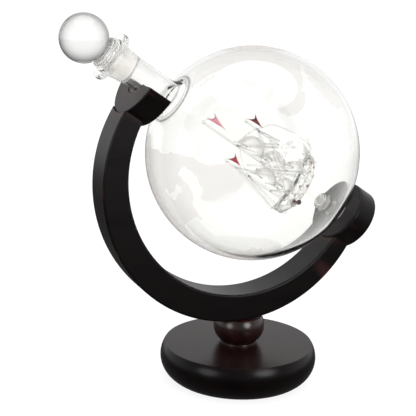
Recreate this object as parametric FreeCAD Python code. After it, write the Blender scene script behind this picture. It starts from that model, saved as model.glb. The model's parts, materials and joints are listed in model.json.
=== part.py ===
import FreeCAD, Part
import math
import os

# A globe decanter on a wooden stand, in millimetres.
# Origin: the centre of the base's underside. +X runs from the neck side to the socket side,
# +Y runs away from the front, and +Z is up. The globe's axis lies in the XZ plane and falls
# towards +X, so the neck points up to the left and the south pole points down to the right.

V = FreeCAD.Vector

# --- driving dimensions ---------------------------------------------------------------------
# Globe
AXIS_TILT = 33.5           # degrees that the globe's axis falls below the horizontal
GLOBE_X = 4.5              # globe centre
GLOBE_Z = 138.3
GLOBE_R = 63.0             # outside of the blown sphere
GLASS_WALL = 2.6
# Stations along the axis, measured from the globe's centre, negative towards the neck
NECK_R = 8.45              # outside of the plain neck tube
NECK_BORE_R = 6.7
FLARE_TOP = -68.5          # where the neck starts to flare into the sphere
FLARE_JOIN_R = 14.6        # radius at which the flare meets the sphere
JOINT_END = -93.0          # end of the ground joint, towards the globe
MOUTH = -108.4             # plane of the mouth
LIP_R = 9.7
JOINT_TOP_R = 8.6          # ground taper at the mouth
JOINT_END_R = 7.7          # ground taper at its small end
FLANGE_AT = -104.6
FLANGE_R = 14.2
FLANGE_BEAD_R = 1.9
# Stopper
BALL_AT = -123.0
BALL_R = 13.6
PLUG_END = -93.6
PLUG_BORE_R = 5.4
COLLAR_R = 9.0
JOINT_GAP = 0.06           # radial running fit of the ground joint
# South pole pin and the sleeve that turns on it
PIN_R = 4.0
PIN_END = 77.0
SLEEVE_FIT = 0.05
SLEEVE_R = 5.3
SLEEVE_TOP = 73.2
SLEEVE_END = 78.0
SEAT_GAP = 0.35            # clearance between parts of different bodies
LIFT_ANGLE = 25.0          # the globe leaves at this angle from the perpendicular, towards the neck
# Stand: crescent arc
ARC_OUTER_R = 85.2
ARC_OUTER_OFFSET = 17.6    # arc circle centres lie this far below the globe centre, square to the axis
ARC_INNER_R = 73.15
ARC_INNER_OFFSET = 12.3
ARC_THICK = 21.6
ARC_EASE = 1.3
ARC_CUT = -8.0             # both ends stop here, inside the blocks
# Saddle block under the neck
SADDLE_R = 23.5
SADDLE_OUT = -84.5
SADDLE_IN = -69.8
SADDLE_TOP = -4.0
GROOVE_R = 10.6
LINER_THICK = 1.7
LINER_SHORT = 0.6          # the liner stops this far inside both faces
SADDLE_EASE = 1.0
# Socket block at the south pole
SOCKET_R = 19.2
SOCKET_RISE = 1.5
SOCKET_IN = 72.4
SOCKET_OUT = 86.0
SOCKET_EASE = 1.6
# Base and post
BASE_TOP = 21.6
BASE_TOP_R = 45.1
BASE_MID_R = 47.5
BASE_FOOT_R = 40.5
BASE_FOOT = 0.6            # the wood stands this far up on its felt
FELT_R = 36.0
FELT_THICK = 1.5
POST_R = 15.5              # turned ball between the base and the arc
POST_MID = 31.3
POST_TOP = 38.7
POST_TOP_R = 13.8
POST_WAIST_R = 10.8
POST_FOOT_R = 11.6
POST_FOOT_H = 1.3
POST_FOOT_EASE = 0.5
# Hardware
BOLT_R = 3.0
BOLT_HOLE_R = 3.3
BOLT_HEAD_R = 5.0
BOLT_HEAD_H = 6.0
BOLT_HEAD_Z = 3.2
BOLT_TIP = 50.0
HEX_AF = 5.0
HEX_DEPTH = 3.0
WASHER_R = 7.5
WASHER_H = 1.2
COUNTERBORE_R = 8.5
INSERT_R = 4.5
INSERT_BOTTOM = 40.5
INSERT_TOP = 52.0
INSERT_FLOOR = 1.0          # the insert is closed at its inner end
DOWEL_R = 3.0
DOWEL_SPREAD = 5.5
# Ship: x along the keel to the bow (square to the axis, upwards), y along +Y, z towards the
# neck, origin at the globe's centre
KEEL_Z = -45.0
DECK_Z = -36.0
STERN_X = -21.5
BOW_X = 19.5
HULL_BEAM = 13.0
MAST_R = 0.85
MAST_ROOT = 1.5            # depth of a mast in the hull
YARD_R = 0.55
THREAD_R = 0.35
SAIL_THICK = 0.8
SAIL_DEPTH = 0.85          # depth of a sail's belly over its radius
# mast name: (x, top z, [(sail z, sail radius), ...]); a yard hangs each sail from its upper edge
MASTS = {
    "fore": (13.4, 14.0, [(-24.5, 6.4)]),
    "main": (-1.0, 36.5, [(1.0, 7.6), (-15.8, 6.4), (-28.8, 5.2)]),
    "mizzen": (-12.2, 11.0, [(-17.0, 6.4), (-29.6, 5.0)]),
}
# mast name: (length, width) of its pennant
PENNANTS = {"fore": (9.0, 4.6), "main": (13.0, 6.0), "mizzen": (8.5, 4.8)}
PENNANT_THICK = 0.9
PORTHOLES_X = (-9.0, -3.0, 2.5, 7.5)
PORTHOLE_DROP = 1.4        # below the deck
PORTHOLE_R = 1.0
ROD_R = 1.1
FOOT_BLOB_AT = 57.5
FOOT_BLOB_R = 4.2

GLOBE = V(GLOBE_X, 0, GLOBE_Z)
TILT = math.radians(AXIS_TILT)
AXIS = V(math.cos(TILT), 0, -math.sin(TILT))       # towards the south pole
ACROSS = V(math.sin(TILT), 0, math.cos(TILT))      # square to the axis, upwards
# Axis frame: local Z runs along AXIS, local X runs along -ACROSS (down), local Y along +Y
AXIS_FRAME = FreeCAD.Placement(GLOBE, FreeCAD.Rotation(V(0, 1, 0), 90 + AXIS_TILT))
SPARE = 2.0                # cutting tools run this far past what they cut
WIDE = 240.0               # larger than the whole object
PARTS_DIR = "parts"


# --- small helpers --------------------------------------------------------------------------
def revolved(points_or_edges, frame=None):
    """Revolve a closed profile in the XZ plane (x = radius, z = height) about Z."""
    wire = Part.Wire(points_or_edges)
    solid = Part.Face(wire).revolve(V(0, 0, 0), V(0, 0, 1), 360)
    if frame is not None:
        solid.Placement = frame
    return Part.Solid(solid) if solid.ShapeType != "Solid" else solid


def line(r1, z1, r2, z2):
    return Part.LineSegment(V(r1, 0, z1), V(r2, 0, z2)).toShape()


def arc(r1, z1, rm, zm, r2, z2):
    return Part.Arc(V(r1, 0, z1), V(rm, 0, zm), V(r2, 0, z2)).toShape()


def loop(*corners):
    """Straight edges round the corners and back to the first."""
    shifted = corners[1:] + corners[:1]
    return [line(a[0], a[1], b[0], b[1]) for a, b in zip(corners, shifted)]


def in_axis_frame(shape):
    """Place a shape that was modelled about the globe's axis."""
    moved = shape.copy()
    moved.Placement = AXIS_FRAME.multiply(moved.Placement)
    return moved


def axis_cylinder(radius, start, end, drop=0.0, side=0.0):
    """A cylinder along the globe's axis, in the axis frame; drop is down, square to the axis."""
    return Part.makeCylinder(radius, end - start, V(drop, side, start), V(0, 0, 1))


def rod(start, end, radius):
    direction = end - start
    return Part.makeCylinder(radius, direction.Length, start, direction)


def one_solid(shape):
    """The largest solid of a boolean result."""
    return max(shape.Solids, key=lambda s: s.Volume)


def save(name, shape):
    solids = shape.Solids
    body = solids[0] if len(solids) == 1 else Part.makeCompound(solids)
    body.exportStep(os.path.join(PARTS_DIR, name + ".step"))


# --- stand ----------------------------------------------------------------------------------
def stand_arc_blank():
    """Crescent between two circles, open at the top, with eased long edges; in the axis frame."""
    half = ARC_THICK / 2
    outer = Part.makeCylinder(ARC_OUTER_R, ARC_THICK, V(ARC_OUTER_OFFSET, -half, 0), V(0, 1, 0))
    inner = Part.makeCylinder(ARC_INNER_R, ARC_THICK, V(ARC_INNER_OFFSET, -half, 0), V(0, 1, 0))
    ring = outer.cut(inner)
    round_edges = [e for e in ring.Edges if isinstance(e.Curve, Part.Circle)]
    ring = ring.makeFillet(ARC_EASE, round_edges)
    keep = Part.makeBox(WIDE, WIDE, WIDE, V(-ARC_CUT, -WIDE / 2, -WIDE / 2))
    return ring.common(keep)


def saddle_cylinder(extra=0.0):
    return axis_cylinder(SADDLE_R, SADDLE_OUT - extra, SADDLE_IN + extra)


def socket_cylinder(extra=0.0):
    return axis_cylinder(SOCKET_R, SOCKET_IN - extra, SOCKET_OUT + extra, drop=-SOCKET_RISE)


def above_saddle():
    """The space over the saddle's flat top, in the axis frame."""
    return Part.makeBox(WIDE, WIDE, WIDE, V(-WIDE - SADDLE_TOP, -WIDE / 2, SADDLE_OUT - WIDE / 2))


def neck_saddle(dowels):
    """D-shaped block, cut flat on top, with a round-bottomed groove along the neck."""
    block = saddle_cylinder()
    rims = [e for e in block.Edges if isinstance(e.Curve, Part.Circle)]
    block = block.makeFillet(SADDLE_EASE, rims)
    groove = axis_cylinder(GROOVE_R, SADDLE_OUT - SPARE, SADDLE_IN + SPARE)
    block = block.cut(above_saddle()).cut(groove)
    block = block.cut(in_axis_frame_inverse(dowels))
    return in_axis_frame(one_solid(block))


def in_axis_frame_inverse(shape):
    """Bring a placed shape back into the axis frame."""
    moved = shape.copy()
    moved.Placement = AXIS_FRAME.inverse().multiply(moved.Placement)
    return moved


def saddle_liner():
    """Felt strip that lines the groove and carries the neck."""
    ring = axis_cylinder(GROOVE_R, SADDLE_OUT + LINER_SHORT, SADDLE_IN - LINER_SHORT)
    ring = ring.cut(axis_cylinder(GROOVE_R - LINER_THICK, SADDLE_OUT - SPARE, SADDLE_IN + SPARE))
    return in_axis_frame(one_solid(ring.cut(above_saddle())))


def socket_recess():
    """Blind seat for the sleeve, relieved upwards along the way that the globe lifts out."""
    seat_r = SLEEVE_R + SEAT_GAP
    bottom = SLEEVE_END + SEAT_GAP
    depth = bottom - SOCKET_IN
    climb = depth / math.tan(math.radians(LIFT_ANGLE))
    start = Part.makeCircle(seat_r, V(0, 0, bottom), V(0, 0, 1))
    reach = 1.0 + climb * 1.2
    run = V(-reach, 0, -reach * math.tan(math.radians(LIFT_ANGLE)))
    seat = axis_cylinder(seat_r, SOCKET_IN - 1, bottom)
    ramp = Part.Face(Part.Wire(start)).extrude(run)
    swept = ramp.fuse(lifted_column(seat_r, bottom, reach))
    return seat.fuse(swept)


def lifted_column(seat_r, bottom, reach):
    """The space above the ramp that the sleeve crosses on its way out."""
    slope = math.tan(math.radians(LIFT_ANGLE))
    profile = Part.makePolygon([
        V(0, 0, bottom),
        V(-reach, 0, bottom - reach * slope),
        V(-reach, 0, SOCKET_IN - 1),
        V(0, 0, SOCKET_IN - 1),
        V(0, 0, bottom),
    ])
    wedge = Part.Face(profile).extrude(V(0, 2 * seat_r, 0))
    wedge.translate(V(0, -seat_r, 0))
    return wedge


def pole_socket(dowels):
    """Round block that takes the sleeve on the south pole pin."""
    block = socket_cylinder()
    rims = [e for e in block.Edges if isinstance(e.Curve, Part.Circle)]
    block = block.makeFillet(SOCKET_EASE, rims)
    block = block.cut(socket_recess())
    block = block.cut(in_axis_frame_inverse(dowels))
    return in_axis_frame(one_solid(block))


def dowel_pair(station, low, high):
    """Two dowels square to the axis, side by side, between two heights."""
    pins = []
    for side in (-DOWEL_SPREAD, DOWEL_SPREAD):
        pins.append(rod(V(-low, side, station), V(-high, side, station), DOWEL_R))
    return in_axis_frame(Part.makeCompound(pins))


def bolt_hole(radius, bottom, top):
    return Part.makeCylinder(radius, top - bottom, V(0, 0, bottom))


def stand_arc(saddle_dowels, socket_dowels):
    blank = stand_arc_blank()
    blank = blank.cut(saddle_cylinder(10)).cut(socket_cylinder(10))
    placed = in_axis_frame(one_solid(blank))
    placed = placed.cut(saddle_dowels).cut(socket_dowels)
    placed = placed.cut(bolt_hole(INSERT_R, INSERT_BOTTOM, INSERT_TOP))
    placed = placed.cut(bolt_hole(BOLT_HOLE_R, BASE_TOP, INSERT_BOTTOM + 1))
    return one_solid(placed)


def threaded_insert():
    tube = bolt_hole(INSERT_R, INSERT_BOTTOM, INSERT_TOP)
    return tube.cut(bolt_hole(BOLT_R, INSERT_BOTTOM - 1, INSERT_TOP - INSERT_FLOOR))


def stand_bolt():
    """Socket-head bolt from under the base, through the post and into the insert."""
    head = Part.makeCylinder(BOLT_HEAD_R, BOLT_HEAD_H, V(0, 0, BOLT_HEAD_Z))
    rims = [e for e in head.Edges if isinstance(e.Curve, Part.Circle)]
    head = head.makeFillet(0.5, rims)
    shank = bolt_hole(BOLT_R, BOLT_HEAD_Z + BOLT_HEAD_H - 1, BOLT_TIP)
    corner = HEX_AF / 2 / math.cos(math.radians(30))
    turns = [math.radians(60 * k) for k in range(7)]
    outline = [V(corner * math.cos(t), corner * math.sin(t), BOLT_HEAD_Z) for t in turns]
    hexagon = Part.Face(Part.makePolygon(outline)).extrude(V(0, 0, HEX_DEPTH))
    return one_solid(head.fuse(shank).cut(hexagon).removeSplitter())


def bolt_washer():
    bottom = BOLT_HEAD_Z + BOLT_HEAD_H
    ring = bolt_hole(WASHER_R, bottom, bottom + WASHER_H)
    return ring.cut(bolt_hole(BOLT_R + 0.2, bottom - 1, bottom + WASHER_H + 1))


def base_disc():
    """Turned disc with a round edge, a felt recess and a counterbored bolt hole."""
    seat = BOLT_HEAD_Z + BOLT_HEAD_H + WASHER_H
    edges = [
        line(BOLT_HOLE_R, BASE_TOP, BASE_TOP_R, BASE_TOP),
        arc(BASE_TOP_R, BASE_TOP, BASE_MID_R, (BASE_TOP + BASE_FOOT) / 2, BASE_FOOT_R, BASE_FOOT),
        line(BASE_FOOT_R, BASE_FOOT, FELT_R + 0.2, BASE_FOOT),
        line(FELT_R + 0.2, BASE_FOOT, FELT_R + 0.2, FELT_THICK),
        line(FELT_R + 0.2, FELT_THICK, COUNTERBORE_R, FELT_THICK),
        line(COUNTERBORE_R, FELT_THICK, COUNTERBORE_R, seat),
        line(COUNTERBORE_R, seat, BOLT_HOLE_R, seat),
        line(BOLT_HOLE_R, seat, BOLT_HOLE_R, BASE_TOP),
    ]
    return revolved(edges)


def base_felt():
    return Part.makeCylinder(FELT_R, FELT_THICK)


def ball_post():
    """Turned ball on a thin foot, flat on top, where it just meets the curve of the arc."""
    foot_top = BASE_TOP + POST_FOOT_H
    eased = POST_FOOT_R - POST_FOOT_EASE
    edges = [
        line(BOLT_HOLE_R, BASE_TOP, POST_FOOT_R, BASE_TOP),
        line(POST_FOOT_R, BASE_TOP, POST_FOOT_R, foot_top - POST_FOOT_EASE),
        arc(POST_FOOT_R, foot_top - POST_FOOT_EASE,
            eased + POST_FOOT_EASE * math.cos(math.pi / 4), foot_top - POST_FOOT_EASE * (1 - math.sin(math.pi / 4)),
            eased, foot_top),
        line(eased, foot_top, POST_WAIST_R, foot_top),
        arc(POST_WAIST_R, foot_top, POST_R, POST_MID, POST_TOP_R, POST_TOP),
        line(POST_TOP_R, POST_TOP, BOLT_HOLE_R, POST_TOP),
        line(BOLT_HOLE_R, POST_TOP, BOLT_HOLE_R, BASE_TOP),
    ]
    centre = GLOBE - ACROSS * ARC_OUTER_OFFSET
    outside = Part.makeCylinder(ARC_OUTER_R, WIDE, V(centre.x, -WIDE / 2, centre.z), V(0, 1, 0))
    return one_solid(revolved(edges).cut(outside))


# --- blown glass ----------------------------------------------------------------------------
def sphere_station(radius, sphere_r):
    """Station on the neck side at which a sphere about the globe's centre has this radius."""
    return -math.sqrt(sphere_r ** 2 - radius ** 2)


def globe_shell():
    """Blown sphere, flared out at the neck, closed at the south pole."""
    inner_r = GLOBE_R - GLASS_WALL
    join_z = sphere_station(FLARE_JOIN_R, GLOBE_R)
    inner_join_r = FLARE_JOIN_R - 1.6
    inner_join_z = sphere_station(inner_join_r, inner_r)
    bend = 0.35
    flare_mid_r = NECK_R + bend * (FLARE_JOIN_R - NECK_R)
    flare_mid_z = FLARE_TOP + 0.72 * (join_z - FLARE_TOP)
    bore_mid_r = NECK_BORE_R + bend * (inner_join_r - NECK_BORE_R)
    bore_mid_z = FLARE_TOP + 0.72 * (inner_join_z - FLARE_TOP)
    edges = [
        arc(FLARE_JOIN_R, join_z, GLOBE_R, 0, 0, GLOBE_R),
        line(0, GLOBE_R, 0, inner_r),
        arc(0, inner_r, inner_r, 0, inner_join_r, inner_join_z),
        arc(inner_join_r, inner_join_z, bore_mid_r, bore_mid_z, NECK_BORE_R, FLARE_TOP),
        line(NECK_BORE_R, FLARE_TOP, NECK_R, FLARE_TOP),
        arc(NECK_R, FLARE_TOP, flare_mid_r, flare_mid_z, FLARE_JOIN_R, join_z),
    ]
    return in_axis_frame(revolved(edges))


def neck_tube():
    """Neck with the outer half of the ground joint and a thick lip."""
    edges = loop(
        (NECK_R, FLARE_TOP),
        (NECK_R, JOINT_END),
        (LIP_R + 0.3, FLANGE_AT + FLANGE_BEAD_R + 0.4),
        (LIP_R, MOUTH + 0.4),
        (LIP_R - 0.4, MOUTH),
        (JOINT_TOP_R, MOUTH),
        (JOINT_END_R, JOINT_END),
        (NECK_BORE_R, JOINT_END + 1.2),
        (NECK_BORE_R, FLARE_TOP),
    )
    return in_axis_frame(revolved(edges))


def mouth_flange(neck):
    """Round-edged collar fused round the mouth."""
    z1 = FLANGE_AT - FLANGE_BEAD_R
    z2 = FLANGE_AT + FLANGE_BEAD_R
    core_r = FLANGE_R - FLANGE_BEAD_R
    edges = [
        line(LIP_R - 0.8, z1, core_r, z1),
        arc(core_r, z1, FLANGE_R, FLANGE_AT, core_r, z2),
        line(core_r, z2, LIP_R - 0.8, z2),
        line(LIP_R - 0.8, z2, LIP_R - 0.8, z1),
    ]
    collar = in_axis_frame(revolved(edges))
    return one_solid(collar.cut(neck))


def pole_pin(shell):
    """Solid glass pin drawn out of the south pole, with a small root."""
    shaft = axis_cylinder(PIN_R, GLOBE_R - 1.5, PIN_END)
    tip = [e for e in shaft.Edges if isinstance(e.Curve, Part.Circle) and e.Curve.Center.z > PIN_END - 0.1]
    shaft = shaft.makeFillet(0.8, tip)
    root = Part.makeCone(PIN_R + 3.0, PIN_R, 3.2, V(0, 0, GLOBE_R - 1.2), V(0, 0, 1))
    pin = in_axis_frame(shaft.fuse(root))
    return one_solid(pin.cut(shell))


def pin_sleeve():
    """Soft cup on the pin: it seats in the socket block and the pin turns in it."""
    wall = SLEEVE_R
    bore = PIN_R + SLEEVE_FIT
    edges = loop(
        (bore, SLEEVE_TOP),
        (wall, SLEEVE_TOP),
        (wall, SLEEVE_END - 0.6),
        (wall - 0.6, SLEEVE_END),
        (0, SLEEVE_END),
        (0, PIN_END + 0.1),
        (bore, PIN_END + 0.1),
    )
    return in_axis_frame(revolved(edges))


def stopper_ball():
    return in_axis_frame(Part.makeSphere(BALL_R, V(0, 0, BALL_AT)))


def stopper_plug(ball):
    """Inner half of the ground joint: a hollow taper, open below, with a waist under the ball."""
    slope = (JOINT_TOP_R - JOINT_END_R) / (JOINT_END - MOUTH)

    def taper(z):
        return JOINT_TOP_R - JOINT_GAP - slope * (z - MOUTH)

    edges = loop(
        (0, BALL_AT + BALL_R - 1.2),
        (6.6, BALL_AT + BALL_R - 1.2),
        (COLLAR_R, MOUTH - 1.9),
        (COLLAR_R, MOUTH - 1.0),
        (taper(MOUTH), MOUTH - 0.4),
        (taper(MOUTH), MOUTH),
        (taper(PLUG_END - 0.4), PLUG_END - 0.4),
        (taper(PLUG_END) - 0.4, PLUG_END),
        (PLUG_BORE_R, PLUG_END),
        (PLUG_BORE_R, MOUTH + 3.0),
        (PLUG_BORE_R - 2.4, MOUTH + 1.2),
        (0, MOUTH + 1.2),
    )
    plug = in_axis_frame(revolved(edges))
    return one_solid(plug.cut(ball))


# --- ship in the globe ----------------------------------------------------------------------
def ship_frame():
    """Ship x points upwards, square to the globe's axis, and ship z points towards the neck."""
    return FreeCAD.Placement(GLOBE, FreeCAD.Rotation(ACROSS, V(0, 1, 0), AXIS * -1, "ZXY"))


def in_ship_frame(shape):
    moved = shape.copy()
    moved.Placement = ship_frame().multiply(moved.Placement)
    return moved


def hull_section(x, half_beam, keel_z, rail_z):
    """One rounded cross-section of the hull, closed across the deck."""
    bilge = rail_z - 2.5
    low = Part.Arc(V(x, -half_beam, bilge), V(x, 0, keel_z), V(x, half_beam, bilge)).toShape()
    left = Part.LineSegment(V(x, -half_beam, rail_z), V(x, -half_beam, bilge)).toShape()
    right = Part.LineSegment(V(x, half_beam, bilge), V(x, half_beam, rail_z)).toShape()
    deck = Part.LineSegment(V(x, half_beam, rail_z), V(x, -half_beam, rail_z)).toShape()
    return Part.Wire([left, low, right, deck])


def ship_hull():
    """Solid glass hull, raised at the stern and drawn up to the bow."""
    half = HULL_BEAM / 2
    stations = [
        hull_section(STERN_X, half * 0.62, KEEL_Z + 5.5, DECK_Z + 5.5),
        hull_section(STERN_X * 0.5, half * 0.95, KEEL_Z + 0.8, DECK_Z + 1.2),
        hull_section(0, half, KEEL_Z, DECK_Z),
        hull_section(BOW_X * 0.6, half * 0.78, KEEL_Z + 1.2, DECK_Z + 0.6),
        hull_section(BOW_X, half * 0.2, KEEL_Z + 6.5, DECK_Z + 2.8),
    ]
    return Part.makeLoft(stations, True, False)


def mast(name):
    x, top, _sails = MASTS[name]
    return rod(V(x, 0, DECK_Z - MAST_ROOT), V(x, 0, top), MAST_R)


def yards(name):
    """One spar across the front of the mast above each sail."""
    x, _top, cloths = MASTS[name]
    front = x + MAST_R + YARD_R * 0.5
    spars = [rod(V(front, -r - 1.0, z + r), V(front, r + 1.0, z + r), YARD_R) for z, r in cloths]
    return Part.makeCompound(spars)


def sail(x, z, radius):
    """A round sail that bellies towards the bow: a thin cap of a sphere."""
    depth = radius * SAIL_DEPTH
    ball_r = (radius ** 2 + depth ** 2) / (2 * depth)
    centre = V(x + depth - ball_r, 0, z)
    outer = Part.makeSphere(ball_r, centre)
    inner = Part.makeSphere(ball_r - SAIL_THICK, centre)
    ahead = Part.makeBox(depth + 2, 4 * radius, 4 * radius, V(x, -2 * radius, z - 2 * radius))
    return one_solid(outer.cut(inner).common(ahead))


def sails(name):
    x, _top, cloths = MASTS[name]
    return Part.makeCompound([sail(x + 0.3, z, r) for z, r in cloths])


def bowsprit():
    return rod(V(BOW_X - 4.0, 0, DECK_Z + 0.5), V(BOW_X + 6.5, 0, DECK_Z + 9.0), MAST_R * 0.85)


def pennant(name):
    """Swallow-tailed flag beside the masthead: two horns above, one long point below."""
    x, top, _sails = MASTS[name]
    length, width = PENNANTS[name]
    near = x + MAST_R - 0.2
    outline = [
        V(near, 0, top),
        V(near + 1.0 + width * 0.45, 0, top - width * 0.55),
        V(near + 1.0 + width, 0, top - 0.2),
        V(near + 1.0 + width * 0.75, 0, top - length * 0.4),
        V(near + 1.0 + width * 0.1, 0, top - length),
        V(near, 0, top - length * 0.2),
        V(near, 0, top),
    ]
    flag = Part.Face(Part.makePolygon(outline)).extrude(V(0, PENNANT_THICK, 0))
    flag.translate(V(0, -PENNANT_THICK / 2, 0))
    return flag


def bent_thread(start, middle, end):
    """A thread drawn out in an arc in the ship's middle plane."""
    path = Part.Wire([Part.Arc(start, middle, end).toShape()])
    leaving = path.Edges[0].tangentAt(path.Edges[0].FirstParameter)
    section = Part.Wire([Part.makeCircle(THREAD_R, start, leaving)])
    return path.makePipeShell([section], True, False)


def rigging():
    """Glass threads: bowed stays to the bow and stern, a stay between masts, and the shrouds."""
    fore_x, main_x, mizzen_x = (MASTS[name][0] for name in ("fore", "main", "mizzen"))
    bow_end = V(BOW_X + 5.0, 0, DECK_Z + 7.8)
    stern_end = V(STERN_X + 1.0, 0, DECK_Z + 5.0)
    threads = [
        bent_thread(V(fore_x, 0, 4.5), V(BOW_X + 3.5, 0, -8.0), bow_end),
        bent_thread(V(main_x, 0, 11.0), V(mizzen_x - 3.5, 0, -10.0), stern_end),
        rod(V(main_x, 0, 12.0), V(fore_x, 0, 2.0), THREAD_R),
        rod(V(main_x, 0, -8.5), V(fore_x, 0, -14.0), THREAD_R),
        rod(V(mizzen_x, 0, -9.0), V(main_x, 0, -24.0), THREAD_R),
    ]
    for name, spread in (("fore", 0.55), ("main", 0.88), ("mizzen", 0.8)):
        x, top, cloths = MASTS[name]
        z, r = cloths[0]
        for side in (-1, 1):
            foot = V(x - 4.5, side * HULL_BEAM / 2 * spread, DECK_Z + 0.8)
            threads.append(rod(V(x, 0, z + r + 3.0), foot, THREAD_R))
    return Part.makeCompound([solid for thread in threads for solid in thread.Solids])


def portholes():
    """Red glass beads set along both sides of the hull."""
    beads = []
    for x in PORTHOLES_X:
        taper = 1.0 - 0.42 * max(0.0, x / BOW_X) ** 2
        for side in (-1, 1):
            reach = HULL_BEAM / 2 * taper
            beads.append(Part.makeSphere(PORTHOLE_R, V(x, side * reach, DECK_Z - PORTHOLE_DROP)))
    return Part.makeCompound(beads)


def support_rod():
    """Glass rod that carries the ship above the south pole."""
    return axis_cylinder(ROD_R, -KEEL_Z - 2.0, FOOT_BLOB_AT)


def support_foot(shell):
    """Flattened bead that fuses the rod to the wall."""
    bead = Part.makeSphere(FOOT_BLOB_R, V(0, 0, FOOT_BLOB_AT + 1.6))
    return one_solid(in_axis_frame(bead).cut(shell).common(in_axis_frame(Part.makeSphere(GLOBE_R - 1))))


def without(shape, *others):
    """Cut the others out of every solid of a shape, and keep each solid's largest piece."""
    pieces = []
    for solid in shape.Solids:
        left = solid
        for other in others:
            for tool in other.Solids:
                if left.BoundBox.intersect(tool.BoundBox):
                    left = left.cut(tool)
        pieces.append(one_solid(left))
    return Part.makeCompound(pieces)


def save_ship(shell):
    masts = {name: in_ship_frame(mast(name)) for name in MASTS}
    all_masts = Part.makeCompound(list(masts.values()))
    sprit = in_ship_frame(bowsprit())
    beads = in_ship_frame(portholes())
    rod_solid = in_axis_frame(support_rod())
    hull = without(in_ship_frame(ship_hull()), all_masts, sprit, rod_solid)
    spars = {name: without(in_ship_frame(yards(name)), masts[name]) for name in MASTS}
    cloth = {name: without(in_ship_frame(sails(name)), masts[name], spars[name]) for name in MASTS}
    flags = {name: without(in_ship_frame(pennant(name)), masts[name]) for name in MASTS}
    threads = without(in_ship_frame(rigging()), all_masts, sprit, hull,
                      *spars.values(), *cloth.values(), *flags.values())
    foot = without(support_foot(shell), rod_solid)
    save("ship_hull", hull)
    save("portholes", beads)
    save("bowsprit", sprit)
    save("rigging", threads)
    save("support_rod", rod_solid)
    save("support_foot", foot)
    for name in MASTS:
        save(name + "_mast", masts[name])
        save(name + "_yards", spars[name])
        save(name + "_sails", cloth[name])
        save(name + "_pennant", flags[name])


def main():
    os.makedirs(PARTS_DIR, exist_ok=True)
    saddle_dowels = dowel_pair((SADDLE_OUT + SADDLE_IN) / 2 - 0.3, -35.0, -15.0)
    socket_dowels = dowel_pair((SOCKET_IN + SOCKET_OUT) / 2 - 0.9, -30.0, -9.0)
    arc_solid = stand_arc(saddle_dowels, socket_dowels)
    save("base_disc", base_disc())
    save("base_felt", base_felt())
    save("ball_post", ball_post())
    save("stand_arc", arc_solid)
    save("neck_saddle", neck_saddle(saddle_dowels))
    save("saddle_liner", saddle_liner())
    save("pole_socket", pole_socket(socket_dowels))
    save("saddle_dowels", saddle_dowels)
    save("socket_dowels", socket_dowels)
    save("stand_bolt", stand_bolt())
    save("bolt_washer", bolt_washer())
    save("threaded_insert", threaded_insert())
    save("pin_sleeve", pin_sleeve())
    shell = globe_shell()
    neck = neck_tube()
    save("globe_shell", shell)
    save("neck_tube", neck)
    save("mouth_flange", mouth_flange(neck))
    save("pole_pin", pole_pin(shell))
    ball = stopper_ball()
    save("stopper_ball", ball)
    save("stopper_plug", stopper_plug(ball))
    save_ship(shell)


main()
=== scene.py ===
import json
import math

import bmesh
import bpy
import numpy as np
from mathutils import Matrix, Vector
from mathutils.geometry import delaunay_2d_cdt

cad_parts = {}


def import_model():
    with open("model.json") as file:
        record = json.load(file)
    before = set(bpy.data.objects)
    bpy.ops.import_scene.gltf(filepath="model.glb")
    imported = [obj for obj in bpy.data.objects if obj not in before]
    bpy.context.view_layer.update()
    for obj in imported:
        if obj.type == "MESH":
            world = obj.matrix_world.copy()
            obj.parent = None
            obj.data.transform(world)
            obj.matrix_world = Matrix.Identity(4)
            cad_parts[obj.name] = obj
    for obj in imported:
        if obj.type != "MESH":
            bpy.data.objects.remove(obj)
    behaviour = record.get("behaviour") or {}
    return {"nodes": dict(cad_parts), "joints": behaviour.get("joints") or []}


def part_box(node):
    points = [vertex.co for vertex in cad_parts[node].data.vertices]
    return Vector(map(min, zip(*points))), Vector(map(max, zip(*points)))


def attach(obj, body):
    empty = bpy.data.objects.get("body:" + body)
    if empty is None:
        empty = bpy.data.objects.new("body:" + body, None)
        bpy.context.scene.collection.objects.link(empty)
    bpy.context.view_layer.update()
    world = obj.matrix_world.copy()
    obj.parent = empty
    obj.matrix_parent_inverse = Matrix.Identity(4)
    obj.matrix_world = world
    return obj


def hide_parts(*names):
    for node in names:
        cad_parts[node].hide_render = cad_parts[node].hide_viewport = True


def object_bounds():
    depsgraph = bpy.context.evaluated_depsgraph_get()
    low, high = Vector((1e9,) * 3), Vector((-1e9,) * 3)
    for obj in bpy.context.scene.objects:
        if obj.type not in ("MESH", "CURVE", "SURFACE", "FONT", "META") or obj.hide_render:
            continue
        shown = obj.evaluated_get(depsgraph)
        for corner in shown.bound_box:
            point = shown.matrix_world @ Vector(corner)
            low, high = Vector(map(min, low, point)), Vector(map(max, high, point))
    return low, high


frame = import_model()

# A glass globe decanter with a lampworked ship inside, on a dark wooden stand.
# Shapes are given in millimetres in two frames of the globe and turned into metres when placed:
# the axis frame (station along the axis towards the south pole, radius), and the ship frame
# (x towards the bow, y across the stand, z along the masts towards the neck).

CAD_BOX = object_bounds()
MM = 0.001

# --- the frame
SPIN = next(j for j in frame["joints"] if j["name"] == "globe_spin")
CENTRE = np.array(SPIN["pos_m"], float)
AXIS = np.array(SPIN["axis"], float) / np.linalg.norm(SPIN["axis"])     # towards the south pole
SIDE = np.array((0.0, 1.0, 0.0))
ACROSS = np.cross(AXIS, SIDE)                                           # square to the axis, upwards
GLOBE_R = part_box("globe_shell")[1].y / MM
BALL_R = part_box("stopper_ball")[1].y / MM
FLANGE_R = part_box("mouth_flange")[1].y / MM
BALL_AT = float(np.dot(np.array(sum(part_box("stopper_ball"), Vector()) / 2) - CENTRE, AXIS)) / MM

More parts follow.
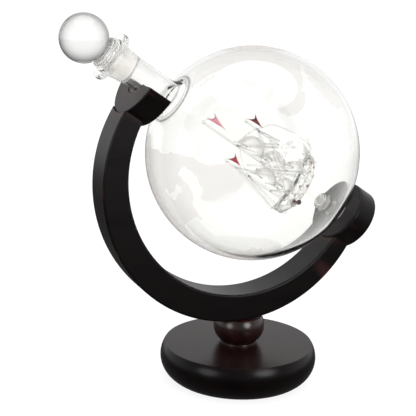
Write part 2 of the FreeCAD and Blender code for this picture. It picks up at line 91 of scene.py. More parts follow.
# Blown glass, millimetres
GLASS_WALL = 2.6
NECK_R = 8.45
NECK_BORE_R = 6.7
FLARE_TOP = -68.5
FLARE_JOIN_R = 14.6
JOINT_END = -93.0
JOINT_END_R = 7.7
JOINT_TOP_R = 8.6
MOUTH = -108.4
LIP_R = 9.7
FLANGE_AT = -104.6
FLANGE_BEAD_R = 1.9
PIN_R = 4.0
PIN_ROOT_R = 7.4
PIN_END = 77.0
COLLAR_R = 9.0
PLUG_END = -93.6
PLUG_BORE_R = 5.4
JOINT_GAP = 0.06
FROST_TOP = -103.4         # the ground zone starts below the flange
# painted shade: dark rings in the flare, standing in for its thick glass edges: (radius, half width,
# strength)
FLARE_SHADE_RINGS = ((9.8, 0.4, 0.8), (12.7, 0.35, 0.7), (14.6, 0.95, 1.0))


# --- placing
def in_axis_frame(station, radius, angle=0.0):
    """Points in metres from stations along the axis, radii and angles about it."""
    station, radius, angle = np.broadcast_arrays(station, radius, angle)
    out = CENTRE + MM * station[..., None] * AXIS
    out = out + MM * (radius * np.cos(angle))[..., None] * ACROSS
    return out + MM * (radius * np.sin(angle))[..., None] * SIDE


def in_ship_frame(points):
    """Points in metres from ship coordinates in millimetres."""
    p = np.asarray(points, float)
    out = CENTRE + MM * p[..., 0:1] * ACROSS + MM * p[..., 1:2] * SIDE
    return out - MM * p[..., 2:3] * AXIS


def in_scene(name, data):
    """A new object in the scene."""
    thing = bpy.data.objects.new(name, data)
    bpy.context.scene.collection.objects.link(thing)
    return thing


def mesh_object(name, points, faces, sharp):
    """A smooth shaded mesh, creased where its faces meet at more than the sharp angle, in degrees."""
    mesh = bpy.data.meshes.new(name)
    mesh.from_pydata([tuple(p) for p in points], [], [tuple(f) for f in faces])
    work = bmesh.new()
    work.from_mesh(mesh)
    bmesh.ops.recalc_face_normals(work, faces=work.faces)
    work.to_mesh(mesh)
    work.free()
    mesh.shade_smooth()
    mesh.set_sharp_from_angle(angle=math.radians(sharp))
    return in_scene(name, mesh)


def hand_over(piece, material, body, slot, *nodes):
    """Give a finished piece its material and its body, and hide the CAD nodes that it stands for; the slot
    is not used.
    """
    piece.data.materials.append(material)
    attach(piece, body)
    if nodes:
        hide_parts(*nodes)


# --- rings of vertices
def even_rings(count, sides):
    """Vertex numbers of rings of one size, one after another."""
    return np.arange(count * sides).reshape(count, sides).tolist()


def join_rings(rings):
    """Faces from each ring to the next; a ring that repeats one vertex closes the form."""
    faces = []
    for low, high in zip(rings, rings[1:]):
        for k in range(len(low)):
            m = (k + 1) % len(low)
            quad = [low[k], low[m], high[m], high[k]]
            face = [v for i, v in enumerate(quad) if v != quad[i - 1]]
            if len(face) > 2:
                faces.append(face)
    return faces


# --- curves
def full_turn(count):
    """Angles spread evenly round a circle."""
    return np.arange(count) * 2 * math.pi / count


def arc_points(centre_r, centre_s, radius, start, end, count):
    """Points of an arc in the profile plane; angles in degrees from +radius towards +station."""
    turns = np.radians(np.linspace(start, end, count))
    return [(centre_r + radius * math.cos(t), centre_s + radius * math.sin(t)) for t in turns]


def bezier_points(p0, p1, p2, p3, count):
    t = np.linspace(0, 1, count)[:, None]
    p0, p1, p2, p3 = (np.asarray(p, float) for p in (p0, p1, p2, p3))
    out = (1 - t) ** 3 * p0 + 3 * (1 - t) ** 2 * t * p1 + 3 * (1 - t) * t ** 2 * p2 + t ** 3 * p3
    return [tuple(p) for p in out]


def rounded(corners, steps=5):
    """A line through (r, s, fillet) corners, each interior corner rounded by an arc."""
    out = [corners[0][:2]]
    for before, here, after in zip(corners, corners[1:], corners[2:]):
        corner = np.array(here[:2], float)
        back = np.array(before[:2], float) - corner
        ahead = np.array(after[:2], float) - corner
        back_len, ahead_len = np.linalg.norm(back), np.linalg.norm(ahead)
        back, ahead = back / back_len, ahead / ahead_len
        half = math.acos(max(-1.0, min(1.0, float(back @ ahead)))) / 2
        reach = min(here[2] / math.tan(half), 0.48 * back_len, 0.48 * ahead_len) if here[2] else 0.0
        if reach < 1e-6:
            out.append(tuple(corner))
            continue
        start, end = corner + back * reach, corner + ahead * reach
        for t in np.linspace(0, 1, steps + 1):
            pull = start * (1 - t) ** 2 + corner * 2 * t * (1 - t) + end * t ** 2
            out.append(tuple(pull))
    out.append(corners[-1][:2])
    return out


def spline(points, per_span, closed=False):
    """Catmull-Rom curve through the points."""
    p = np.asarray(points, float)
    n = len(p)
    if closed:
        wrap = [p[(k - 1) % n] for k in range(n + 3)]
    else:
        wrap = [2 * p[0] - p[1], *p, 2 * p[-1] - p[-2]]
    out = []
    for k in range(len(wrap) - 3):
        a, b, c, d = wrap[k:k + 4]
        for t in np.arange(per_span) / per_span:
            out.append(0.5 * (2 * b + (c - a) * t + (2 * a - 5 * b + 4 * c - d) * t ** 2
                              + (3 * b - a - 3 * c + d) * t ** 3))
    if not closed:
        out.append(p[-1])
    return np.array(out)


def revolve(profile, segments):
    """Vertices and faces of a profile turned about the globe's axis; ends on the axis are closed."""
    turns = full_turn(segments)
    points, rings = [], []
    for r, s in profile:
        first = len(points)
        if r < 1e-9:
            points.append(in_axis_frame(s, 0.0))
            rings.append([first] * segments)
        else:
            points.extend(in_axis_frame(np.full(segments, s), np.full(segments, r), turns))
            rings.append(list(range(first, first + segments)))
    return points, join_rings(rings)


def tube(points, radius, sides):
    """A round tube along points in millimetres, with rounded ends; radius may be a list."""
    p = np.asarray(points, float)
    radii = np.broadcast_to(np.asarray(radius, float), (len(p),)).copy()
    tangent = np.gradient(p, axis=0)
    tangent /= np.linalg.norm(tangent, axis=1)[:, None]
    dome = np.radians((10, 40, 65, 82))
    cap, drop = np.sin(dome), np.cos(dome)
    first = [p[0] - tangent[0] * radii[0] * d for d in drop]
    last = [p[-1] + tangent[-1] * radii[-1] * d for d in drop[::-1]]
    p = np.vstack([first, p, last])
    radii = np.concatenate([radii[0] * cap, radii, radii[-1] * cap[::-1]])
    tangent = np.vstack([np.repeat(tangent[:1], 4, 0), tangent, np.repeat(tangent[-1:], 4, 0)])
    helper = np.array((0.0, 1.0, 0.0)) if abs(tangent[0][1]) < 0.9 else np.array((1.0, 0.0, 0.0))
    normal = np.cross(tangent[0], helper)
    normal /= np.linalg.norm(normal)
    turns = full_turn(sides)
    rings = []
    for k in range(len(p)):
        normal = normal - tangent[k] * (normal @ tangent[k])
        normal /= np.linalg.norm(normal)
        other = np.cross(tangent[k], normal)
        rings.append(p[k] + radii[k] * (np.cos(turns)[:, None] * normal + np.sin(turns)[:, None] * other))
    verts = list(np.concatenate(rings))
    numbers = even_rings(len(p), sides)
    faces = join_rings(numbers)
    for ring, place in ((numbers[0][::-1], rings[0]), (numbers[-1], rings[-1])):
        verts.append(place.mean(0))
        faces += [[ring[m - 1], ring[m], len(verts) - 1] for m in range(sides)]
    return verts, faces


def gather(pieces):
    """Join several (vertices, faces) into one."""
    points, faces = [], []
    for verts, polys in pieces:
        offset = len(points)
        points.extend(verts)
        faces.extend([[v + offset for v in f] for f in polys])
    return points, faces


# --- materials
def new_material(name, **constants):
    material = bpy.data.materials.new(name)
    material.use_nodes = True
    tree = material.node_tree
    tree.nodes.clear()
    out = node(tree, "OutputMaterial")
    shader = node(tree, "BsdfPrincipled", **constants)
    link(shader.outputs[0], out.inputs["Surface"])
    return material, tree, shader, out


def node(tree, kind, **constants):
    """A shader node with constants on its own sockets; an underscore stands for a space."""
    made = tree.nodes.new("ShaderNode" + kind)
    for key, value in constants.items():
        made.inputs[key.replace("_", " ")].default_value = value
    return made


def link(source, socket):
    source.id_data.links.new(source, socket)


def mix_shaders(tree, share, first, second):
    """The output of two shaders mixed by another node's output."""
    made = node(tree, "MixShader")
    for socket, source in enumerate((share, first.outputs[0], second.outputs[0])):
        link(source, made.inputs[socket])
    return made.outputs[0]


def mix_colours(tree, factor, colour_a, colour_b, blend="MIX"):
    """Two colours mixed; each input is a constant or another node's output."""
    made = node(tree, "Mix")
    made.data_type = "RGBA"
    made.blend_type = blend
    for key, value in (("Factor", factor), ("A", colour_a), ("B", colour_b)):
        if isinstance(value, bpy.types.NodeSocket):
            link(value, made.inputs[key])
        else:
            made.inputs[key].default_value = value
    return made.outputs["Result"]


def ramp(tree, source, *stops):
    """A colour ramp on a value; stops are (position, colour) or (position, grey level)."""
    made = node(tree, "ValToRGB")
    elements = made.color_ramp.elements
    while len(elements) < len(stops):
        elements.new(0.5)
    for element, (position, colour) in zip(elements, stops):
        element.position = position
        element.color = (*np.broadcast_to(colour, 3), 1.0)
    link(source, made.inputs["Fac"])
    return made.outputs["Color"]


def object_coords(tree, scale=(1, 1, 1), turn=(0, 0, 0)):
    coords = node(tree, "TexCoord")
    mapping = node(tree, "Mapping", Scale=scale, Rotation=turn)
    link(coords.outputs["Object"], mapping.inputs["Vector"])
    return mapping.outputs["Vector"]


def noise(tree, vector, scale, detail, roughness=0.5):
    made = node(tree, "TexNoise", Scale=scale, Detail=detail, Roughness=roughness)
    link(vector, made.inputs["Vector"])
    return made.outputs["Fac"]


def bump(tree, shader, height, strength, distance):
    made = node(tree, "Bump", Strength=strength, Distance=distance)
    link(height, made.inputs["Height"])
    link(made.outputs["Normal"], shader.inputs["Normal"])


def painted(tree, name):
    """A value that was painted on the vertices."""
    made = node(tree, "Attribute")
    made.attribute_name = name
    return made.outputs["Fac"]


def let_lamps_through(tree, shader, out, share):
    """Shadow rays pass straight through the glass, so that it doesn't black out what it covers."""
    path = node(tree, "LightPath")
    clear = node(tree, "BsdfTransparent", Color=(share, share, share, 1.0))
    mixed = mix_shaders(tree, path.outputs["Is Shadow Ray"], shader, clear)
    link(mixed, out.inputs["Surface"])


def glass(name, tint, density, rim, roughness=0.0, ripple=0.0, frost=False, flare_shade=False, through=0.95):
    """Clear glass, greyer with the length of the way through it, and with painted shade that greys its
    colour towards the rims.
    """
    material, tree, shader, out = new_material(name, Transmission_Weight=1.0, Roughness=roughness, IOR=1.5)
    # painted shade: a facing ramp darkens the base colour towards the rims, standing in for dark
    # surroundings seen there
    colour = ramp(tree, node(tree, "LayerWeight", Blend=0.5).outputs["Facing"], *rim)
    if flare_shade:
        # painted shade: the flare's dark rings multiply the base colour
        shade = ramp(tree, painted(tree, "flare_shade"), (0.0, 1.0), (1.0, 0.08))
        colour = mix_colours(tree, 1.0, colour, shade, "MULTIPLY")
    if ripple:
        bump(tree, shader, noise(tree, object_coords(tree), 55.0, 2.0), ripple, 0.002)
    if frost:
        mask = painted(tree, "frost")
        level = node(tree, "MapRange", To_Min=roughness, To_Max=0.55)
        link(mask, level.inputs["Value"])
        link(level.outputs["Result"], shader.inputs["Roughness"])
        colour = mix_colours(tree, mask, colour, (0.91, 0.90, 0.875, 1.0))
    link(colour, shader.inputs["Base Color"])
    if density:
        volume = node(tree, "VolumeAbsorption", Color=(*tint, 1.0), Density=density)
        link(volume.outputs[0], out.inputs["Volume"])
    let_lamps_through(tree, shader, out, through)
    return material


def etched_film():
    """Sandblasted land on the outside of the globe: a thin pale bloom with a fine grain."""
    material, tree, shader, _out = new_material(
        "etched_frost", Roughness=0.85, Specular_IOR_Level=0.15, Alpha=0.125)
    grain = noise(tree, object_coords(tree), 2600.0, 3.0, 0.7)
    colour = ramp(tree, grain, (0.30, (0.49, 0.44, 0.40)), (0.72, (0.59, 0.54, 0.50)))
    link(colour, shader.inputs["Base Color"])
    return material


def lacquered_wood(name, tones, gloss, shine, edge_share=0.8, stretch=(14, 130, 130), turn=(0, 0, 0)):
    """Dark stained hardwood under satin lacquer, with fine pores, and redder on sharp edges, partly worn
    stain and partly a painted highlight.

    The tones are the wood's dark and light and its redder edge. The stretch is small along the grain.
    """
    dark, light, edge = tones
    material, tree, shader, _out = new_material(name, Specular_IOR_Level=shine)
    grain = object_coords(tree, stretch, turn)
    figure = noise(tree, grain, 1.0, 5.0, 0.6)
    body = ramp(tree, figure, (0.30, dark), (0.55, light), (0.80, dark))
    # redder sharp edges: worn stain, and a painted highlight along the rounded edges
    pointed = node(tree, "NewGeometry").outputs["Pointiness"]
    edge_wear_and_highlight = ramp(tree, pointed, (0.53, (0, 0, 0)), (0.62, edge_share))
    link(mix_colours(tree, edge_wear_and_highlight, body, (*edge, 1.0)), shader.inputs["Base Color"])
    sheen = ramp(tree, figure, (0.25, gloss), (0.75, gloss + 0.04))
    link(sheen, shader.inputs["Roughness"])
    bump(tree, shader, noise(tree, grain, 9.0, 3.0, 0.6), 0.02, 0.0004)
    return material


def felt(name, colour_a, colour_b):
    material, tree, shader, _out = new_material(
        name, Roughness=0.95, Sheen_Weight=0.35, Sheen_Roughness=0.4)
    coords = object_coords(tree)
    fibres = noise(tree, coords, 1500.0, 4.0, 0.7)
    clumps = noise(tree, coords, 220.0, 3.0, 0.6)
    blend = node(tree, "Math")
    blend.operation = "MULTIPLY"
    link(fibres, blend.inputs[0])
    link(clumps, blend.inputs[1])
    colour = ramp(tree, blend.outputs[0], (0.10, colour_a), (0.42, colour_b))
    link(colour, shader.inputs["Base Color"])
    bump(tree, shader, fibres, 0.6, 0.0004)
    return material


def metal(name, colour, roughness, scale):
    material, tree, shader, _out = new_material(name, Metallic=1.0)
    marks = noise(tree, object_coords(tree, (1, 1, 12)), scale, 3.0)
    shade = [tuple(c * k for c in colour) for k in (0.82, 1.0)]
    link(ramp(tree, marks, (0.3, shade[0]), (0.7, shade[1])), shader.inputs["Base Color"])
    link(ramp(tree, marks, (0.3, roughness), (0.7, roughness + 0.15)), shader.inputs["Roughness"])
    return material


def plain_grain(name, colour_a, colour_b, roughness, scale, **constants):
    """A quiet surface with a little mottling, for hidden or soft parts."""
    material, tree, shader, _out = new_material(name, Roughness=roughness, **constants)
    mottle = noise(tree, object_coords(tree), scale, 4.0, 0.6)
    link(ramp(tree, mottle, (0.3, colour_a), (0.7, colour_b)), shader.inputs["Base Color"])
    bump(tree, shader, mottle, 0.15, 0.0003)
    return material


def grey(*stops):
    """Painted rim shade stops (facing, level) as slightly warm greys."""
    return [(position, (level, level * 0.998, level * 0.985)) for position, level in stops]


NEUTRAL = (0.885, 0.885, 0.87)
# Painted rim shade for each glass: its colour greys as the surface turns edge-on.
BALL_RIM_SHADE = grey((0.08, 1.0), (0.20, 0.86), (0.36, 0.60), (0.50, 0.34), (0.66, 0.14), (0.84, 0.02))
WALL_RIM_SHADE = grey((0.40, 1.0), (0.62, 0.96), (0.82, 0.86), (0.97, 0.50))
SOLID_RIM_SHADE = grey((0.15, 1.0), (0.45, 0.84), (0.70, 0.60), (0.92, 0.34))
CLEAR = glass("clear_glass", NEUTRAL, 12.0, WALL_RIM_SHADE, ripple=0.04)
STOPPER_GLASS = glass("stopper_glass", NEUTRAL, 9.0, BALL_RIM_SHADE, frost=True)
VESSEL_GLASS = glass("vessel_glass", NEUTRAL, 16.0, WALL_RIM_SHADE, frost=True, flare_shade=True)
THREAD_GLASS = glass("thread_glass", NEUTRAL, 0.0, grey((0.0, 0.97), (0.45, 0.74), (1.0, 0.28)))
SAIL_GLASS = glass("sail_glass", NEUTRAL, 0.0, grey((0.0, 0.99), (0.6, 0.96), (1.0, 0.78)), roughness=0.26)
RED_GLASS = glass("red_glass", (0.82, 0.004, 0.02), 5200.0, SOLID_RIM_SHADE, through=0.6)
DARK_RED_GLASS = glass("dark_red_glass", (0.62, 0.004, 0.03), 5200.0, SOLID_RIM_SHADE, through=0.5)
PINK_GLASS = glass("pink_glass", (0.86, 0.30, 0.42), 1900.0, SOLID_RIM_SHADE, through=0.7)


# --- blown glass
def stations_and_radii(piece):
    """How far each vertex lies along the globe's axis and from it, in millimetres."""
    places = np.zeros(len(piece.data.vertices) * 3)
    piece.data.vertices.foreach_get("co", places)
    offset = places.reshape(-1, 3) - CENTRE
    along = offset @ AXIS
    return along / MM, np.linalg.norm(offset - along[:, None] * AXIS, axis=1) / MM


def paint(piece, name, values):
    """Keep a value for each vertex under a name that the glass reads."""
    layer = piece.data.attributes.new(name, "FLOAT", "POINT")
    layer.data.foreach_set("value", values.astype(np.float32))


def paint_frost(piece, low, high, inner_r, outer_r):
    """Mark the ground zone between two stations and two radii, softly at its ends."""
    station, radius = stations_and_radii(piece)
    edge = np.clip((station - low) / 0.4, 0, 1) * np.clip((high - station) / 0.4, 0, 1)
    paint(piece, "frost", edge * ((radius > inner_r) & (radius < outer_r)))


def paint_flare_shade(piece, first_outside):
    """Paint shade as dark rings outside the flare, from where the neck opens to where it meets the sphere.
    """
    station, radius = stations_and_radii(piece)
    rings = sum(weight * np.exp(-((radius - at) / width) ** 2) for at, width, weight in FLARE_SHADE_RINGS)
    near_flare = (station < -GLOBE_R * 0.9) & (station > FLARE_TOP)
    near_flare &= np.arange(len(radius)) >= first_outside
    paint(piece, "flare_shade", np.clip(rings * near_flare, 0, 1))


def joint_radius(station, gap=0.0):
    share = (station - MOUTH) / (JOINT_END - MOUTH)
    return JOINT_TOP_R + (JOINT_END_R - JOINT_TOP_R) * share - gap


def glass_vessel():
    """Sphere, flare, neck, ground joint, flange and south pole pin as one blown piece."""
    inner_r = GLOBE_R - GLASS_WALL
    inner_join_r = FLARE_JOIN_R - 1.6
    inner_angle = math.degrees(math.asin(inner_join_r / inner_r))
    outer_angle = math.degrees(math.asin(FLARE_JOIN_R / GLOBE_R))
    inner_s = -inner_r * math.cos(math.radians(inner_angle))
    outer_s = -GLOBE_R * math.cos(math.radians(outer_angle))
    profile = arc_points(0, 0, inner_r, 90, -90 + inner_angle, 110)
    profile[0] = (0.0, inner_r)
    profile += bezier_points((inner_join_r, inner_s), (inner_join_r - 3.6, inner_s - 0.9),
                             (NECK_BORE_R, FLARE_TOP + 4.0), (NECK_BORE_R, FLARE_TOP), 30)[1:]
    inside_rings = len(profile)
    profile += rounded([
        (NECK_BORE_R, FLARE_TOP, 0),
        (NECK_BORE_R, JOINT_END + 1.4, 0.8),
        (JOINT_END_R, JOINT_END, 0.4),
        (joint_radius(-96.0), -96.0, 0.1),
        (joint_radius(-102.0), -102.0, 0.1),
        (JOINT_TOP_R, MOUTH, 0.35),
        (LIP_R, MOUTH, 0.7),
        (LIP_R, FLANGE_AT - FLANGE_BEAD_R, 0.5),
        (FLANGE_R, FLANGE_AT - FLANGE_BEAD_R, 1.8),
        (FLANGE_R, FLANGE_AT + FLANGE_BEAD_R, 1.8),
        (LIP_R + 0.3, FLANGE_AT + FLANGE_BEAD_R, 0.6),
        (LIP_R, FLANGE_AT + FLANGE_BEAD_R + 1.6, 0.6),
        (NECK_R + 0.5, JOINT_END - 1.2, 2.0),
        (NECK_R, JOINT_END + 1.6, 2.0),
        (NECK_R, FLARE_TOP, 0),
    ])[1:]
    profile += bezier_points((NECK_R, FLARE_TOP), (NECK_R, FLARE_TOP + 3.6),
                             (FLARE_JOIN_R - 3.4, outer_s - 0.9), (FLARE_JOIN_R, outer_s), 30)[1:]
    root_angle = math.degrees(math.asin(PIN_ROOT_R / GLOBE_R))
    profile += arc_points(0, 0, GLOBE_R, -90 + outer_angle, 90 - root_angle, 120)[1:]
    root_s = GLOBE_R * math.cos(math.radians(root_angle))
    profile += bezier_points((PIN_ROOT_R, root_s), (5.2, root_s + 0.3), (PIN_R, root_s + 1.2),
                             (PIN_R, root_s + 3.6), 8)[1:]
    profile += rounded([(PIN_R, root_s + 3.6, 0), (PIN_R, PIN_END, 1.0), (0.0, PIN_END, 0)])[1:]
    segments = 160
    points, faces = revolve(profile, segments)
    piece = mesh_object("glass_globe", points, faces, sharp=50)
    paint_frost(piece, FROST_TOP, JOINT_END + 1.8, NECK_BORE_R - 0.1, JOINT_TOP_R + 0.2)
    paint_flare_shade(piece, inside_rings * segments)
    hand_over(piece, VESSEL_GLASS, "globe", "clear_glass",
              "globe_shell", "neck_tube", "mouth_flange", "pole_pin")


def plug_rings():
    """Shallow grooves round the clear top of the plug, above its ground zone."""
    corners = []
    for station in (-107.2, -105.9, -104.6):
        corners += [(joint_radius(station - 0.35, JOINT_GAP), station - 0.35, 0.1),
                    (joint_radius(station, JOINT_GAP + 0.32), station, 0.2),
                    (joint_radius(station + 0.35, JOINT_GAP), station + 0.35, 0.1)]
    return corners


def glass_stopper():
    """Solid ball drawn into a waist with two rings, over a hollow ground plug."""
    waist_r = 6.2
    waist_angle = math.degrees(math.asin(waist_r / BALL_R))
    profile = arc_points(0, BALL_AT, BALL_R, -90, 90 - waist_angle, 64)
    profile[0] = (0.0, BALL_AT - BALL_R)
    ball_foot = BALL_AT + BALL_R * math.cos(math.radians(waist_angle))
    profile += rounded([
        (waist_r, ball_foot, 0),
        (waist_r - 0.3, ball_foot + 0.5, 0.3),
        (COLLAR_R - 0.8, MOUTH - 1.9, 0.5),
        (COLLAR_R, MOUTH - 1.5, 0.4),
        (COLLAR_R, MOUTH - 0.8, 0.4),
        (joint_radius(MOUTH, JOINT_GAP), MOUTH - 0.45, 0.2),
        *plug_rings(),
        (joint_radius(-101.0, JOINT_GAP), -101.0, 0.1),
        (joint_radius(PLUG_END - 0.8, JOINT_GAP), PLUG_END - 0.8, 0.2),
        (joint_radius(PLUG_END, JOINT_GAP) - 0.6, PLUG_END, 0.4),
        (PLUG_BORE_R, PLUG_END, 0.4),
        (PLUG_BORE_R, MOUTH + 4.0, 1.6),
        (PLUG_BORE_R - 2.4, MOUTH + 1.2, 1.6),
        (0.0, MOUTH + 1.2, 0),
    ])[1:]
    points, faces = revolve(profile, 96)
    piece = mesh_object("glass_stopper", points, faces, sharp=50)
    paint_frost(piece, FROST_TOP, PLUG_END + 1.0, PLUG_BORE_R - 0.2, JOINT_TOP_R + 0.2)
    hand_over(piece, STOPPER_GLASS, "stopper", "clear_glass", "stopper_ball", "stopper_plug")


# --- etched map
# Outlines of the lands on this globe, in degrees of longitude and latitude. North is at the neck,
# and longitude 0 faces the front, turned a little downwards. Drawn after no real map.
MAP_TURN = math.radians(5.6)
MAP_NORTH = -AXIS
MAP_FRONT = -math.cos(MAP_TURN) * SIDE - math.sin(MAP_TURN) * ACROSS
MAP_EAST = np.cross(MAP_NORTH, MAP_FRONT)
FILM_INNER = GLOBE_R + 0.03
FILM_OUTER = GLOBE_R + 0.11
GRID_STEP = 1.9

# name: (outline, [lakes])
LANDS = {
    "west_land": ([
        (-118, 50), (-108, 66), (-98, 67), (-85, 62), (-68, 61), (-54, 59), (-40, 55), (-27, 46),
        (-20, 40), (-14, 34), (-10, 27), (-14, 22), (-22, 21), (-30, 22), (-37, 26), (-41, 30),
        (-36, 34), (-34, 40), (-38, 46), (-45, 48), (-45, 42), (-44, 34), (-47, 31), (-50, 21),
        (-54, 22), (-64, 21), (-70, 16), (-73, 11), (-68, 6), (-72, 0), (-95, 5), (-105, 25)],
        [[(-68, 41), (-61, 39), (-52, 42), (-50, 38), (-56, 37), (-62, 34), (-65, 37)]]),
    "south_land": ([
        (-78, -4), (-71, 0), (-61, -1), (-57, -8), (-45, -10), (-42, -15), (-50, -19), (-62, -24),
        (-76, -20), (-84, -12)], []),
    "great_land": ([
        (90, 48), (105, 50), (135, 52), (163, 39), (158, 34), (150, 31), (138, 22), (133, 22),
        (130, 17), (134, 15), (135, 7), (133, 1), (130, -5), (122, -9), (124, -12), (133, -12),
        (140, -15), (145, -22), (142, -28), (135, -30), (121, -23), (120, -18), (116, -15),
        (106, -4), (92, 10), (84, 30)], []),
    "island_chain": ([
        (138, 18), (147, 24), (153, 27), (162, 29), (160, 31), (151, 29), (142, 24)], []),
    "middle_island": ([
        (142, 12), (145, 12), (147, 6), (146, 1), (143, 0), (141, 6)], []),
    "long_island": ([
        (133, -6), (141, -8), (150, -14), (148, -15), (139, -11)], []),
    "far_land": ([
        (90, 3), (106, -10), (105, -22), (92, -32), (82, -26), (78, -10)], []),
    "rim_island": ([
        (70, -31), (77, -38), (79, -47), (70, -52), (62, -42)], []),
}


def on_globe(lonlat, radius):
    lon, lat = np.radians(np.asarray(lonlat, float)).T
    flat = np.cos(lat)[:, None] * (np.cos(lon)[:, None] * MAP_FRONT + np.sin(lon)[:, None] * MAP_EAST)
    return radius * (flat + np.sin(lat)[:, None] * MAP_NORTH)


def coastline(points, seed):
    """A smooth closed curve through the points, roughened into bays and capes."""
    unit = on_globe(points, 1.0)
    curve = spline(unit, 7, closed=True)
    draw = np.random.default_rng(seed)
    count = len(curve)
    rough = np.zeros((count, 3))
    for waves, size in ((11, 0.010), (23, 0.007), (47, 0.0045)):
        turns = full_turn(count)
        for axis in range(3):
            phase = draw.uniform(0, 2 * math.pi)
            rough[:, axis] += size * np.sin(turns * (waves + draw.integers(-2, 3)) + phase)
    curve = curve + rough
    return curve / np.linalg.norm(curve, axis=1)[:, None]


def inside(points, outline):
    """Which flat points lie inside a closed outline."""
    x, y = points[:, 0:1], points[:, 1:2]
    ax, ay = outline[:, 0], outline[:, 1]
    bx, by = np.roll(ax, -1), np.roll(ay, -1)
    crosses = (ay > y) != (by > y)
    where = ax + (y - ay) * (bx - ax) / np.where(by == ay, 1e-12, by - ay)
    return (crosses & (x < where)).sum(1) % 2 == 1


def filled(rings, step, row_step, stagger, margin):
    """Points and triangles that fill a closed flat outline, the first ring, round its holes."""

    def wanted(points):
        keep = inside(points, rings[0])
        for hole in rings[1:]:
            keep &= ~inside(points, hole)
        return keep

    border = np.vstack(rings)
    low, high = rings[0].min(0), rings[0].max(0)
    grid_x, grid_y = np.meshgrid(np.arange(low[0], high[0], step), np.arange(low[1], high[1], row_step))
    grid_x[1::2] += stagger
    grid = np.stack([grid_x.ravel(), grid_y.ravel()], 1)
    grid = grid[wanted(grid)]
    apart = np.sqrt(((grid[:, None] - border[None]) ** 2).sum(-1)).min(1)
    grid = grid[apart > margin]
    edges, start = [], 0
    for ring in rings:
        edges += [(start + k, start + (k + 1) % len(ring)) for k in range(len(ring))]
        start += len(ring)
    verts, _edges, tris, *_rest = delaunay_2d_cdt(
        [Vector(p) for p in np.vstack([border, grid])], edges, [], 1, 1e-6)
    verts = np.array([tuple(v) for v in verts])
    tris = np.array([t for t in tris if len(t) == 3])
    tris = tris[wanted(verts[tris].mean(1))]
    used, inverse = np.unique(tris, return_inverse=True)
    return verts[used], inverse.reshape(-1, 3)


def film_patch(outline, lakes, seed):
    """A thin closed shell on the globe with the given coastlines."""
    rings = [coastline(ring, seed + k) for k, ring in enumerate([outline, *lakes])]
    middle = rings[0].mean(0)
    middle /= np.linalg.norm(middle)
    east = np.cross(middle, AXIS)
    east /= np.linalg.norm(east)
    north = np.cross(east, middle)

    def flatten(unit):
        along = np.arccos(np.clip(unit @ middle, -1, 1))
        spread = unit - (unit @ middle)[:, None] * middle
        spread /= np.maximum(np.linalg.norm(spread, axis=1), 1e-12)[:, None]
        return GLOBE_R * along[:, None] * np.stack([spread @ east, spread @ north], 1)

    def lift(flat, radius):
        length = np.linalg.norm(flat, axis=1)
        angle = length / GLOBE_R
        way = flat / np.maximum(length, 1e-12)[:, None]
        unit = np.cos(angle)[:, None] * middle
        unit = unit + np.sin(angle)[:, None] * (way[:, :1] * east + way[:, 1:] * north)
        return CENTRE + MM * radius * unit

    verts, tris = filled([flatten(ring) for ring in rings], GRID_STEP, GRID_STEP * 0.866,
                         GRID_STEP / 2, GRID_STEP * 0.45)
    a, b, c = verts[tris[:, 0]], verts[tris[:, 1]], verts[tris[:, 2]]
    turn = (b[:, 0] - a[:, 0]) * (c[:, 1] - a[:, 1]) - (b[:, 1] - a[:, 1]) * (c[:, 0] - a[:, 0])
    tris[turn < 0] = tris[turn < 0][:, ::-1]
    count = len(verts)
    directed = {(int(t[k]), int(t[(k + 1) % 3])) for t in tris for k in range(3)}
    points = list(lift(verts, FILM_OUTER)) + list(lift(verts, FILM_INNER))
    faces = [list(map(int, t)) for t in tris]
    faces += [[int(v) + count for v in t[::-1]] for t in tris]
    faces += [[q, p, p + count, q + count] for p, q in directed if (q, p) not in directed]
    return points, faces


def etched_map():
    film = etched_film()
    for number, (name, (outline, lakes)) in enumerate(LANDS.items()):
        points, faces = film_patch(outline, lakes, 40 + 10 * number)
        piece = mesh_object("etched_" + name, points, faces, sharp=40)
        hand_over(piece, film, "globe", "ground_glass")


# --- ship in the globe
# mast: (x, z of its top)
MASTS = {"fore": (13.4, 14.0), "main": (-1.2, 36.5), "mizzen": (-12.2, 11.0)}
DECK_Z = -36.0
HULL_MIDDLE = -0.8         # x of the middle of the hull
HULL_HALF = 19.6
HULL_BEAM = 6.0            # half beam amidships
SAIL_THICK = 0.8
# mast: [(x, z, half width, half height, belly depth, lean in degrees)]
SAILS = {
    "fore": [(17.0, -24.2, 6.9, 6.9, 5.2, 4)],
    "main": [(1.0, 2.2, 7.8, 7.9, 8.2, -6), (3.0, -15.6, 6.8, 6.6, 6.6, 4),
             (6.6, -30.0, 5.4, 5.2, 4.8, 8)],
    "mizzen": [(-9.0, -16.2, 6.8, 6.9, 7.2, 0), (-6.4, -31.0, 5.6, 5.4, 6.2, 10)],
}
